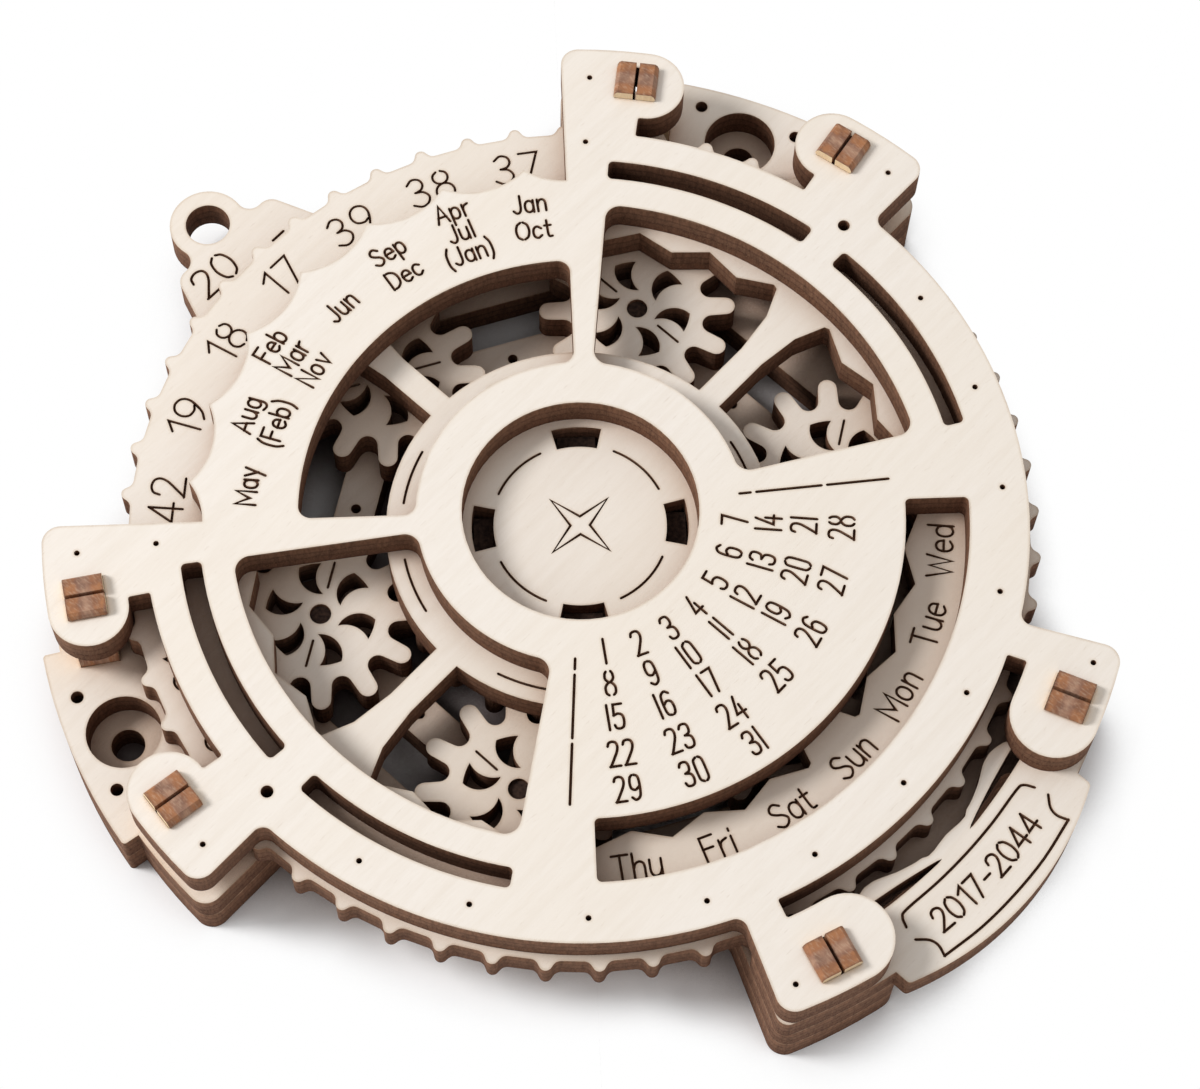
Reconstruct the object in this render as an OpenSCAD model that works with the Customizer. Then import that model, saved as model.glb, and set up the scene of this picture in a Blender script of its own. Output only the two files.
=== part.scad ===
// Perpetual desk calendar: a hand-turned year disc in a stack of four laser-cut plywood
// layers, with six pinwheel gears that the disc drives. Millimetres, +Z towards the reader.
// The stack lies on its back on z = 0, the main axis is the Z axis and the hanging tab
// points to +Y.

/* [Plywood] */
// Thickness of one layer
ply = 3; // [2.8:0.1:3.2]
// Gap left above and below each moving layer
layer_gap = 0.05; // [0.03:0.01:0.1]
// Radial running clearance of every turning piece
running_fit = 0.05; // [0.03:0.01:0.08]

/* [Front plate] */
// Radius of the opening in the middle of the front plate
hub_opening_r = 9.1; // [8.6:0.1:9.6]
// Outer radius of the ring round the middle opening
hub_ring_r = 12.6; // [12.4:0.1:13]
// Outer radius of the front plate's rim below the upper lugs
rim_r = 34.4; // [34:0.1:34.6]
// Outer radius of the side windows
side_window_r = 26.7; // [26:0.1:27]
// Outer radius of the window under the months
fan_window_r = 21.6; // [21:0.1:22]
// Outer radius of the sector that carries the dates
date_sector_r = 24.9; // [24.5:0.1:25]
// Outer radius of the weekday window
weekday_window_r = 29.8; // [29.4:0.1:30]
// Radius of each scallop along the months
scallop_r = 5.9; // [5.7:0.1:6.1]
// Distance from the main axis to the centres of the scallops
scallop_centre_r = 34.75; // [34.5:0.05:35]

/* [Lugs] */
// Inner radius of the upper lugs
upper_lug_in_r = 34.96; // [34.8:0.02:35.1]
// Outer radius of the upper lugs
upper_lug_out_r = 41.05; // [40.8:0.05:41.3]
// Inner radius of the bottom lugs
low_lug_in_r = 35.75; // [35.6:0.05:35.9]
// Outer radius of the bottom lugs
low_lug_out_r = 42.45; // [42.2:0.05:42.6]
// Radius of the lug corners
lug_corner_r = 1.4; // [1:0.1:1.8]

/* [Calendar disc] */
// Number of finger teeth round the disc, two for each year
disc_teeth = 56; // [56]
// Radius at the tips of the disc's teeth
disc_tip_r = 35.65; // [35.6:0.01:35.7]
// Depth of the disc's teeth
disc_tooth_h = 0.8; // [0.7:0.05:0.9]
// Outer radius of the disc's hub ring
disc_hub_r = 15; // [14.8:0.1:15.2]
// Radius of the centre disc that the calendar disc turns on
journal_r = 11.1; // [11:0.05:11.2]

/* [Gears] */
// Distance from the main axis to each planet axle
planet_orbit = 21; // [21]
// Teeth of the sun gear
sun_teeth = 24; // [24]
// Teeth of each planet gear
planet_teeth = 12; // [12]
// Radius of the boss that the sun gear turns on
boss_r = 9.94; // [9.8:0.02:10]
// Radius of the planet axles
axle_r = 0.78; // [0.7:0.02:0.9]
// Height of a tooth above the pitch circle
addendum = 0.9; // [0.86:0.01:0.92]
// Depth of a tooth below the pitch circle
dedendum = 1.6; // [1.5:0.05:1.7]

/* [Pins] */
// Width of a pin's split shank
pin_w = 3.15; // [3:0.05:3.2]
// Width of the shoulder that holds the front plate up
shoulder_w = 6; // [5.6:0.1:6.2]
// Width of a pin's head in the base layer
head_w = 7; // [6.6:0.1:7.4]
// How far a pin stands out of the front
pin_proud = 0.8; // [0.6:0.1:1]
// Width of the slit between a pin's prongs
slit_w = 0.28; // [0.2:0.02:0.4]

/* [Hanging tab and screw holes] */
// Distance from the main axis to the centre of the eye
eye_y = 41.2; // [41:0.1:41.4]
// Radius of the eye's hole
eye_hole_r = 1.8; // [1.6:0.1:2]
// Radius of the screw holes in the base plate
screw_r = 1.3; // [1.1:0.1:1.5]
// Radius of the clearance holes over the screw heads
screw_head_r = 2.9; // [2.7:0.1:3.1]

/* [Hidden] */
$fn = 72;

// Layer floors: base, middle, disc and front.
z_base = 0;
z_mid = ply;
z_disc = 2 * ply;
z_front = 3 * ply;
moving_ply = ply - 2 * layer_gap;

// Angles from +X. The upper lug pair fills 0 to 45 degrees, and is mirrored on the left.
year_step = 360 / 28;
lug_mid_a = 22.5;
fan_a = [45, 135];
spoke_a = 38.3;
date_a = [212.8, 327.2];
upper_slot_a = [10.2, 35.1];
low_lug_a = [-117.2, -62.8];
low_slot_a = [-112.5, -67.5];
arc_slot_r = [29.1, 30.7];
slot_corner_r = 0.2;

// Pins: radius from the main axis, and angle.
upper_pin_r = 38.1;
low_pin_r = 39.7;
upper_pin_a = [lug_mid_a - 13.4, lug_mid_a + 13.4, 180 - lug_mid_a - 13.4, 180 - lug_mid_a + 13.4];
low_pin_a = [-110, -70];
pin_t = ply;
slot_play = 0.03;
barb = 0.12;

// Pads under the lugs in the two lower layers.
pad_out_r = 42.4;
pad_bulge_a = 11.4;
inner_ring_r = 29.4;
frame_r = 34;
screw_orbit = 38.2;

// Plaque: its outer edge is an arc with a flatter sweep than the dial, between short
// parallel sides.
plaque_half_w = 10.5;
plaque_low_y = -44.7;
plaque_sweep_r = 25;
plaque_under_r = 37.4;

// Hanging tab: sloping shoulders that narrow from the ring towards the eye.
tab_foot_half_w = 7.8;
tab_top_half_w = 5.2;
tab_foot_y = 32.5;
tab_top_y = 39.45;
eye_ring_r = 3.1;

// Gear train. The module follows from the axle distance.
module_mm = 2 * planet_orbit / (sun_teeth + planet_teeth);
sun_pitch_r = module_mm * sun_teeth / 2;
planet_pitch_r = module_mm * planet_teeth / 2;
gear_nose_r = 0.75;
gear_hollow_r = 0.8;
disc_nose_r = 0.5;
disc_corner_r = 0.7;
disc_lean = 60;
sun_bore_r = boss_r + running_fit;
planet_bore_r = axle_r + running_fit;
axle_sunk = 0.4;

// Base hexagon: straps between the axles, and the frame's six flats round them.
strap_mid = planet_orbit * cos(30);
strap_w = 3.1;
frame_flat = 23.3;
axle_pad_r = 4.2;
base_hub_r = 11.5;

// Hub pegs and dowels.
arc_peg_r = 7.5;
peg_w = 1.5;
peg_sunk = 1.5;
dowel_r = 0.6;
dowel_orbit = 12;
big = 120;

// ---- outlines ---------------------------------------------------------------------------

function polar(r, a) = [r * cos(a), r * sin(a)];

// Points of an arc about the origin, one every 2 degrees or so.
function arc(r, a1, a2) =
    let (n = max(1, ceil(abs(a2 - a1) / 2)))
    [for (i = [0:n]) polar(r, a1 + (a2 - a1) * i / n)];

// Points of an arc about any centre.
function arc_at(centre, r, a1, a2, n = 8) =
    [for (i = [0:n]) centre + polar(r, a1 + (a2 - a1) * i / n)];

// A piece of a ring between two radii and two angles.
module ring_sector(r1, r2, a1, a2) {
    polygon(concat(arc(r2, a1, a2), arc(r1, a2, a1)));
}

// A pie slice from the axis out.
module pie(r, a1, a2) {
    polygon(concat([[0, 0]], arc(r, a1, a2)));
}

// The same outline with its outward corners rounded, for a window or a lug.
module round_out(r) {
    offset(r = r, $fn = 48) offset(delta = -r) children();
}

// The same outline with its inward corners filled.
module round_in(r) {
    offset(r = -r, $fn = 48) offset(delta = r) children();
}

module both_sides() {
    children();
    mirror([1, 0]) children();
}

// A six-sided outline with a flat at 0 degrees, given by the distance to its flats.
module hexagon(flat) {
    polygon([for (k = [0:5]) polar(flat / cos(30), 30 + 60 * k)]);
}

// The cut that frees a pair of lug fingers: a narrow slot along the rim, and the open mouth
// between the two full-round finger ends.
module finger_cut(rim, lug_in, lug_out, slot_a, mouth_a) {
    half = (lug_out - lug_in) / 2;
    mid = (lug_out + lug_in) / 2;
    nose_a = asin(half / mid);
    nose = [mouth_a[0] - nose_a, mouth_a[1] + nose_a];
    round_out(slot_corner_r) ring_sector(rim, lug_in, slot_a[0], slot_a[1]);
    difference() {
        ring_sector(rim, lug_out + 3, nose[0], nose[1]);
        for (a = nose) translate(polar(mid, a)) circle(half);
    }
}

// ---- tooth outlines -----------------------------------------------------------------------

// Finger teeth: every tooth ends in a round nose and every gap in a round hollow, joined by
// the straight line that touches both. The lean is how far a nose turns, from the tooth's
// middle, before the flank leaves it. The first tooth stands at angle a0.
function finger_teeth(count, tip, root, nose, hollow, a0) =
    let (pitch = 360 / count,
         across = polar(root + hollow, pitch / 2) - [tip - nose, 0],
         lean = atan2(across.y, across.x) - acos((nose + hollow) / norm(across)))
    [for (k = [0:count - 1])
        let (a = a0 + pitch * k)
        each concat(
            arc_at(polar(tip - nose, a), nose, a - lean, a + lean),
            arc_at(polar(root + hollow, a + pitch / 2), hollow,
                   a + 180 + lean, a + pitch + 180 - lean)
        )];

// Shallow teeth: narrow round noses between wide hollows that follow the root circle. The
// straight flank leaves the nose at the given lean and runs into a rounded corner, whose
// centre stands the foot angle away from the tooth's middle.
function shallow_teeth(count, tip, root, nose, corner, lean, a0) =
    let (pitch = 360 / count,
         foot = lean - acos((nose + corner + (tip - nose) * cos(lean)) / (root + corner)))
    [for (k = [0:count - 1])
        let (a = a0 + pitch * k)
        each concat(
            arc_at(polar(tip - nose, a), nose, a - lean, a + lean),
            arc_at(polar(root + corner, a + foot), corner, a + 180 + lean, a + 180 + foot, 4),
            arc_at(polar(root + corner, a + pitch - foot), corner,
                   a + pitch + 180 - foot, a + pitch + 180 - lean, 4)
        )];

// ---- shared plate outlines ------------------------------------------------------------------

// Outer outline of the two lower layers: a ring with a lug pad pair on each side and one at
// the bottom, where the pads stop short of the plaque. A crisp step between the two upper
// lugs makes room for the screw hole.
module frame_outline() {
    round_out(0.3) {
        round_in(1) round_out(lug_corner_r) {
            circle(frame_r, $fn = 180);
            both_sides() ring_sector(frame_r - 2, upper_lug_out_r, 0, 45);
            difference() {
                ring_sector(frame_r - 2, low_lug_out_r, low_lug_a[0], low_lug_a[1]);
                ring_sector(plaque_under_r, big / 2, -102.6, -77.4);
            }
        }
        both_sides() ring_sector(frame_r - 2, pad_out_r,
                                 lug_mid_a - pad_bulge_a, lug_mid_a + pad_bulge_a);
    }
}

// Holes of all pins through one layer. Every pin is a flat piece of plywood that stands
// across the radius, so its slot is as wide as that layer's part of the pin.
module pin_slots(upper_w, low_w) {
    for (a = upper_pin_a) rotate(a) translate([upper_pin_r, 0]) pin_slot(upper_w);
    for (a = low_pin_a) rotate(a) translate([low_pin_r, 0]) pin_slot(low_w);
}

module pin_slot(w) {
    square([pin_t + 2 * slot_play, w + 2 * slot_play], center = true);
}

module peg_slots() {
    for (k = [0:3]) rotate(45 + 90 * k) translate([arc_peg_r, 0])
        square([peg_w, pin_t], center = true);
}

module at_axles() {
    for (k = [0:5]) rotate(30 + 60 * k) translate([planet_orbit, 0]) children();
}

module screw_places() {
    for (a = [lug_mid_a, 180 - lug_mid_a]) translate(polar(screw_orbit, a)) children();
}

// ---- bottom layer -----------------------------------------------------------------------------

// Base plate: the outer ring and pads, the hexagon of straps that carries the axles, and
// a hub with a spoke to every axle. The sides between the straps and the frame are open.
module base_plate() {
    color([0.93, 0.89, 0.84]) linear_extrude(ply) difference() {
        union() {
            difference() {
                frame_outline();
                round_out(1.2) hexagon(frame_flat);
            }
            difference() {
                round_in(0.8) {
                    hexagon(strap_mid + strap_w / 2);
                    at_axles() circle(axle_pad_r);
                    at_axles() translate([4, 0]) square([6, 2 * axle_pad_r], center = true);
                }
                difference() {
                    round_out(1) hexagon(strap_mid - strap_w / 2);
                    round_in(1) {
                        circle(base_hub_r);
                        for (k = [0:5]) rotate(30 + 60 * k) translate([0, -strap_w / 2])
                            square([planet_orbit, strap_w]);
                    }
                }
            }
        }
        at_axles() circle(axle_r);
        for (k = [0:5]) translate(polar(strap_mid, 60 * k)) circle(0.4);
        screw_places() circle(screw_r);
        pin_slots(head_w, head_w);
        peg_slots();
    }
}

// ---- second layer -----------------------------------------------------------------------------

// Hanging tab: a plate with sloping sides that grows out of the ring, and the eye on it.
module tab_outline() {
    round_in(1.1) {
        round_out(1.2) polygon([
            [-tab_foot_half_w, tab_foot_y], [tab_foot_half_w, tab_foot_y],
            [tab_top_half_w, tab_top_y], [-tab_top_half_w, tab_top_y]
        ]);
        translate([0, eye_y]) circle(eye_ring_r);
    }
}

// Middle frame: the open ring round the gears, the lug pads and the hanging tab.
module middle_frame() {
    color([0.93, 0.89, 0.84]) translate([0, 0, z_mid]) linear_extrude(ply) difference() {
        union() {
            frame_outline();
            tab_outline();
        }
        circle(inner_ring_r);
        translate([0, eye_y]) circle(eye_hole_r);
        screw_places() circle(screw_head_r);
        both_sides() for (side = [-1, 1])
            translate(polar(40.6, lug_mid_a + side * 5.8)) circle(0.5);
        pin_slots(shoulder_w, pin_w);
    }
}

// Hub boss: the journal of the sun gear, clamped between the base and the centre disc.
module hub_boss() {
    color([0.9, 0.85, 0.78]) translate([0, 0, z_mid]) linear_extrude(ply) difference() {
        circle(boss_r);
        peg_slots();
    }
}

// ---- third layer ------------------------------------------------------------------------------

// Centre disc: the journal of the calendar disc, with the four arc slots of the hub pegs.
module centre_disc() {
    color([0.93, 0.89, 0.84]) translate([0, 0, z_disc]) linear_extrude(ply) difference() {
        circle(journal_r);
        for (k = [0:3]) ring_sector(6.7, 8.4, 45 + 90 * k - 13.5, 45 + 90 * k + 13.5);
    }
}

// A smooth closed curve through points, as a Catmull-Rom spline. Each side gets four steps.
function smooth(p) =
    let (n = len(p))
    [for (i = [0:n - 1], t = [0:0.25:0.75])
        let (a = p[(i + n - 1) % n], b = p[i], c = p[(i + 1) % n], d = p[(i + 2) % n])
        b + t * (c - a) / 2 + t * t * (a - 2.5 * b + 2 * c - d / 2)
            + t * t * t * (3 * b - a - 3 * c + d) / 2];

// The cut round the right leaf-spring finger of the detent. From the gap at the disc it
// runs round the finger's tip and back behind it, to a point near the middle, so that the
// finger stays joined to the plaque there and its nose rises towards the teeth.
finger_cut_right = [
    [-2.8, -33.5], [5, -33.9], [10.6, -34.2], [10.5, -36], [9.6, -36.9], [7.7, -37.35],
    [4.6, -37.8], [1.6, -38], [4.6, -37.1], [7.6, -36.4], [8.75, -36.15], [9, -35.8],
    [8.4, -35.42], [7.2, -35.23], [6.3, -35.42], [5.3, -35.9], [4.3, -36.35], [2.6, -36.85],
    [0, -37], [-2.6, -36.85]
];

// Outline of the plaque between its parallel sides, down to the swept outer edge.
module plaque_outline() {
    round_out(0.4) intersection() {
        translate([-plaque_half_w, plaque_low_y])
            square([2 * plaque_half_w, -disc_tip_r - plaque_low_y]);
        translate([0, plaque_low_y + plaque_sweep_r]) circle(plaque_sweep_r, $fn = 180);
    }
}

// Plaque plate: the year-range plaque between the bottom lugs, which also fills the third
// layer under those lugs, and the two detent fingers.
module plaque_plate() {
    color([0.93, 0.89, 0.84]) translate([0, 0, z_disc]) linear_extrude(ply) difference() {
        union() {
            plaque_outline();
            round_out(0.9)
                ring_sector(disc_tip_r + 0.3, low_lug_out_r, low_lug_a[0], low_lug_a[1]);
        }
        circle(disc_tip_r + 0.3, $fn = 180);
        both_sides() polygon(smooth(finger_cut_right));
        for (a = low_pin_a) rotate(a) translate([low_pin_r, 0]) pin_slot(pin_w);
    }
}

// Weekday ring's inner edge: a shallow zigzag with a corner every half year step.
function zigzag() =
    [for (k = [0:55]) polar(k % 2 == 0 ? 25.1 : 26.2, -90 + year_step * k / 2)];

// One spoke of the calendar disc: a straight waist that flares out to the weekday ring.
module disc_spoke() {
    polygon([[13, -1.05], [20, -1.05], [23.5, -1.5], [27, -3],
             [27, 3], [23.5, 1.5], [20, 1.05], [13, 1.05]]);
}

// Calendar disc: shallow teeth, year ring and weekday ring in one plate, on four spokes.
module calendar_disc() {
    color([0.93, 0.89, 0.84]) translate([0, 0, z_disc + layer_gap])
    linear_extrude(moving_ply) difference() {
        union() {
            difference() {
                polygon(shallow_teeth(disc_teeth, disc_tip_r, disc_tip_r - disc_tooth_h,
                                      disc_nose_r, disc_corner_r, disc_lean, 90));
                polygon(zigzag());
            }
            for (k = [0:3]) rotate(90 * k) disc_spoke();
            circle(disc_hub_r);
        }
        circle(journal_r + running_fit);
        for (k = [0:3]) translate(polar(dowel_orbit, 45 + 90 * k)) circle(dowel_r);
    }
}

// ---- top layer --------------------------------------------------------------------------------

// Front plate: months on the scalloped fan, dates on the sector below, windows between.
module front_plate() {
    color([0.95, 0.91, 0.87]) translate([0, 0, z_front]) linear_extrude(ply) difference() {
        front_outline();
        circle(hub_opening_r);
        round_out(1) ring_sector(hub_ring_r, fan_window_r, fan_a[0], fan_a[1]);
        both_sides() round_out(1.2)
            ring_sector(hub_ring_r, side_window_r, date_a[1] - 360, spoke_a);
        round_out(0.4) ring_sector(date_sector_r, weekday_window_r, 225, 315);
        both_sides() {
            round_out(0.4) ring_sector(arc_slot_r[0], arc_slot_r[1], 5.7, 38.5);
            round_out(0.4) ring_sector(arc_slot_r[0], arc_slot_r[1], -33, -0.2);
            finger_cut(33.25, upper_lug_in_r, upper_lug_out_r, upper_slot_a, [15, 30]);
        }
        finger_cut(34.2, low_lug_in_r, low_lug_out_r, low_slot_a, [-102.5, -77.5]);
        front_dots();
        pin_slots(pin_w, pin_w);
    }
}

// Outline with the scalloped fan, before the lug fingers are cut free.
module front_outline() {
    difference() {
        round_in(0.9) round_out(lug_corner_r) {
            circle(rim_r, $fn = 180);
            both_sides() ring_sector(rim_r - 3, upper_lug_out_r, 0, 45);
            ring_sector(rim_r - 3, low_lug_out_r, low_lug_a[0], low_lug_a[1]);
        }
        difference() {
            pie(big / 2, fan_a[0], fan_a[1]);
            circle(30.1);
        }
        intersection() {
            pie(big / 2, fan_a[0], fan_a[1]);
            for (k = [-4:3]) translate(polar(scallop_centre_r, 90 + year_step * (k + 0.5)))
                circle(scallop_r);
        }
    }
}

// Small marking holes: one under each weekday column, the rim's larger ones, and those at
// the ends of the fan and of the lugs.
module front_dots() {
    dot_r = 0.22;
    for (k = [-5:5]) translate(polar(32.5, -90 + 1.2 * year_step * k)) circle(dot_r);
    both_sides() {
        translate(polar(32.5, 2.57)) circle(0.48);
        translate(polar(32.4, 42)) circle(dot_r);
        translate(polar(38.4, 41.6)) circle(dot_r);
        translate(polar(38.6, 3)) circle(dot_r);
        translate(polar(40.5, -65.2)) circle(dot_r);
    }
}

// ---- gear train -------------------------------------------------------------------------------

// Sun gear: a ring gear under the calendar disc, turning on the hub boss.
module sun_gear() {
    color([0.9, 0.85, 0.78]) translate([0, 0, z_mid + layer_gap])
    linear_extrude(moving_ply) difference() {
        polygon(finger_teeth(sun_teeth, sun_pitch_r + addendum, sun_pitch_r - dedendum,
                             gear_nose_r, gear_hollow_r, 0));
        circle(sun_bore_r);
        for (k = [0:3]) translate(polar(dowel_orbit, 45 + 90 * k)) circle(dowel_r);
    }
}

// One blade-shaped opening of the pinwheel: a disc with a second disc bitten out of it.
module pinwheel_blade() {
    intersection() {
        difference() {
            translate([3.3, -1]) circle(1.78);
            translate([2.5, -2.4]) circle(2);
        }
        circle(4.28);
    }
}

// Planet gear on its axle, with a gap towards the sun gear's tooth.
module planet_gear(i) {
    color([0.9, 0.85, 0.78]) translate([0, 0, z_mid + layer_gap]) linear_extrude(moving_ply)
    translate(polar(planet_orbit, 60 * i - 30)) difference() {
        polygon(finger_teeth(planet_teeth, planet_pitch_r + addendum,
                             planet_pitch_r - dedendum, gear_nose_r, gear_hollow_r, 15));
        circle(planet_bore_r);
        for (k = [0:5]) rotate(60 * k) pinwheel_blade();
    }
}

// Axle of a planet gear: a peg pressed into the base, a little below the gear's face.
module gear_axle(i) {
    color([0.35, 0.25, 0.2]) translate(polar(planet_orbit, 60 * i - 30))
        cylinder(r = axle_r, h = 2 * ply - axle_sunk);
}

// ---- pins, pegs and dowels ----------------------------------------------------------------------

// Right side of a split pin's profile, seen along the radius: a head in the base layer, a
// wider foot or shoulder up to z_shoulder, and a prong with a barb over the front plate.
function pin_side(shoulder, z_shoulder) =
    let (top = 4 * ply, w = pin_w / 2)
    [[head_w / 2, 0], [head_w / 2, ply], [shoulder / 2, ply],
     [shoulder / 2, z_shoulder], [w, z_shoulder], [w, top + 0.02], [w + barb, top + 0.22],
     [w, top + pin_proud - 0.2], [w - 0.2, top + pin_proud]];

// The points of one side, and its mirror image on the way back.
function symmetric(side) =
    concat(side, [for (i = [len(side) - 1:-1:0]) [-side[i].x, side[i].y]]);

// A split pin: a flat piece of plywood across the radius, with a slit between its prongs.
module split_pin(r, a, shoulder, z_shoulder) {
    color([0.55, 0.34, 0.2]) rotate([0, 0, a]) translate([r - pin_t / 2, 0, 0])
    rotate([90, 0, 90]) linear_extrude(pin_t) difference() {
        polygon(symmetric(pin_side(shoulder, z_shoulder)));
        translate([-slit_w / 2, 1.5 * ply]) square([slit_w, 4 * ply]);
    }
}

module spacer_pin(i) {
    split_pin(upper_pin_r, upper_pin_a[i - 1], shoulder_w, z_front);
}

module lug_pin(i) {
    split_pin(low_pin_r, low_pin_a[i - 1], pin_w, z_mid);
}

// Hub peg: a key through the base and the boss into an arc slot, below the dial's face.
module hub_peg(i) {
    color([0.35, 0.25, 0.2]) rotate([0, 0, 45 + 90 * (i - 1)])
    translate([arc_peg_r - peg_w / 2, -pin_t / 2, 0])
        cube([peg_w, pin_t, z_front - peg_sunk]);
}

// Hub dowel: ties the sun gear to the calendar disc.
module hub_dowel(i) {
    color([0.75, 0.6, 0.42]) translate(concat(polar(dowel_orbit, 45 + 90 * (i - 1)),
                                              [z_mid + layer_gap]))
        cylinder(r = dowel_r, h = 2 * ply - layer_gap);
}

// ---- assembly -----------------------------------------------------------------------------------

base_plate();
middle_frame();
hub_boss();
centre_disc();
plaque_plate();
front_plate();
for (i = [1:4]) hub_peg(i);
for (i = [1:4]) spacer_pin(i);
for (i = [1:2]) lug_pin(i);
for (i = [1:6]) gear_axle(i);
calendar_disc();
sun_gear();
for (i = [1:4]) hub_dowel(i);
for (i = [1:6]) planet_gear(i);
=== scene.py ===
"""Perpetual desk calendar in laser-cut birch plywood, lying on a pale table."""
import math

import bmesh
import bpy
import numpy as np
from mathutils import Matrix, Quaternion, Vector


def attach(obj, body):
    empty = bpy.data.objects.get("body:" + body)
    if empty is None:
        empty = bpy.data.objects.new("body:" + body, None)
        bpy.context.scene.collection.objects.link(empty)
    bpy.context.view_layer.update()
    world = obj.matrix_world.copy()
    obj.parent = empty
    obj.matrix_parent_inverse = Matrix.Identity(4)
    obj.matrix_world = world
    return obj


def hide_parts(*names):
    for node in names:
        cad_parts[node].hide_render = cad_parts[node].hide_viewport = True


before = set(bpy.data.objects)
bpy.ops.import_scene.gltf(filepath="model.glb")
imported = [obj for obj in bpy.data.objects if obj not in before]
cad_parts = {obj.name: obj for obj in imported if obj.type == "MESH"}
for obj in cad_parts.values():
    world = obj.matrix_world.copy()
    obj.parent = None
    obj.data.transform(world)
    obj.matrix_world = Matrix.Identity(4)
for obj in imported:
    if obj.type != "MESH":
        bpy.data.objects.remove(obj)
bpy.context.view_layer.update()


# ---- Viewpoint ---------------------------------------------------------------------------
# The camera stands a quarter of a metre off the dial's lower left, looks steeply down on it
# and is tipped two degrees to one side. It has a short telephoto lens on a full frame.
view_target = Vector((-0.00115, -0.00307, 0.012))
view_side, view_height = math.radians(-139.47), math.radians(66.44)
view_distance = 0.2515
view_tip = math.radians(2.22)
lens_length, film_width = 99.1, 36.0
nearest_seen = 0.01


def direction(side, height):
    """The unit vector at one angle round from +X and another up from level."""
    return Vector((math.cos(side) * math.cos(height), math.sin(side) * math.cos(height),
                   math.sin(height)))


camera = bpy.data.objects.new("camera", bpy.data.cameras.new("camera"))
camera.data.lens = lens_length
camera.data.sensor_width = film_width
camera.data.clip_start = nearest_seen
backward = direction(view_side, view_height)
camera.location = view_target + backward * view_distance
camera.rotation_mode = "QUATERNION"
level = (-backward).to_track_quat("-Z", "Y")
camera.rotation_quaternion = level @ Quaternion((0, 0, 1), view_tip)
bpy.context.collection.objects.link(camera)
bpy.context.scene.camera = camera
bpy.context.scene.view_settings.view_transform = "Standard"


# ---- Table and studio light --------------------------------------------------------------
# A matt white table top that is lit to pure white, but for a soft shadow close round the
# calendar. That shadow is partly real and partly painted: the table's colour darkens, nearly
# to black, where the sky is shut out beneath and between the plates. A soft box stands
# beyond the upper left lugs, and the white room fills its shadows in.
pure_white = (1, 1, 1, 1)
table_half, table_drop = 3.0, 0.00002
shadow_reach = 0.008
full_shadow_sky, no_shadow_sky = 0.5, 0.87
painted_shadow_steps = [(0.02, (0.06, 0.045, 0.042, 1)), (0.14, (0.12, 0.09, 0.085, 1)),
                (0.28, (0.42, 0.39, 0.38, 1)), (0.42, (0.93, 0.93, 0.935, 1))]
room_fill = 0.58
box_side, box_height = math.radians(128), math.radians(43)
box_distance, box_width, box_power = 0.75, 0.25, 4.1


def empty_tree(material):
    """Empties the node tree of a material or world, and gives a short way to add to it.

    add(kind, inputs, settings) makes one node, sets or links its inputs, and returns it.
    """
    material.use_nodes = True
    tree = material.node_tree
    tree.nodes.clear()

    def add(kind, inputs=None, **settings):
        made = tree.nodes.new(kind)
        for name, value in settings.items():
            setattr(made, name, value)
        for name, value in (inputs or {}).items():
            if isinstance(value, bpy.types.NodeSocket):
                tree.links.new(value, made.inputs[name])
            else:
                made.inputs[name].default_value = value
        return made

    return add


def arithmetic(add, operation, *values):
    """One Math node on up to three numbers or sockets."""
    return add("ShaderNodeMath", dict(enumerate(values)), operation=operation).outputs[0]


def colour_steps(add, value, steps):
    """A colour ramp over a number from 0 to 1, through the (place, colour) steps given."""
    ramp = add("ShaderNodeValToRGB", {"Fac": value})
    points = ramp.color_ramp.elements
    while len(points) < len(steps):
        points.new(0.5)
    for point, (place, colour) in zip(points, steps):
        point.position = place
        point.color = colour
    return ramp.outputs["Color"]


def open_sky(add, reach, samples):
    """The share of the sky, from 0 to 1, that nothing within the reach hides."""
    return add("ShaderNodeAmbientOcclusion", {"Distance": reach},
               samples=samples).outputs["AO"]


def seen_directly(add):
    """1 for rays from the camera, a mirror or a lens, 0 for rays that light other things."""
    path = add("ShaderNodeLightPath").outputs
    either = arithmetic(add, "MAXIMUM", path["Is Camera Ray"], path["Is Glossy Ray"])
    return arithmetic(add, "MAXIMUM", either, path["Is Transmission Ray"])


table_material = bpy.data.materials.new("white_table")
add = empty_tree(table_material)
table_sky = open_sky(add, shadow_reach, 16)
# Painted shadow: the table's colour darkens where little sky is seen within the reach.
matt = add("ShaderNodeBsdfDiffuse", {"Color": colour_steps(add, table_sky, painted_shadow_steps)})
white = add("ShaderNodeEmission", {"Color": pure_white, "Strength": 1.0})
clear = add("ShaderNodeMapRange", {"Value": table_sky, "From Min": full_shadow_sky,
                                   "From Max": no_shadow_sky},
            interpolation_type="SMOOTHSTEP")
whitened = arithmetic(add, "MULTIPLY", clear.outputs[0], seen_directly(add))
mix = add("ShaderNodeMixShader", {0: whitened, 1: matt.outputs[0], 2: white.outputs[0]})
add("ShaderNodeOutputMaterial", {"Surface": mix.outputs[0]})

table_mesh = bpy.data.meshes.new("table_top")
corner_signs = np.array([(-1, -1), (1, -1), (1, 1), (-1, 1)], float)
table_corners = np.column_stack([corner_signs * table_half, np.full(4, -table_drop)])
table_mesh.from_pydata(table_corners.tolist(), [], [(0, 1, 2, 3)])
table_mesh.materials.append(table_material)
table_top = bpy.data.objects.new("table_top", table_mesh)
bpy.context.collection.objects.link(table_top)

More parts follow.
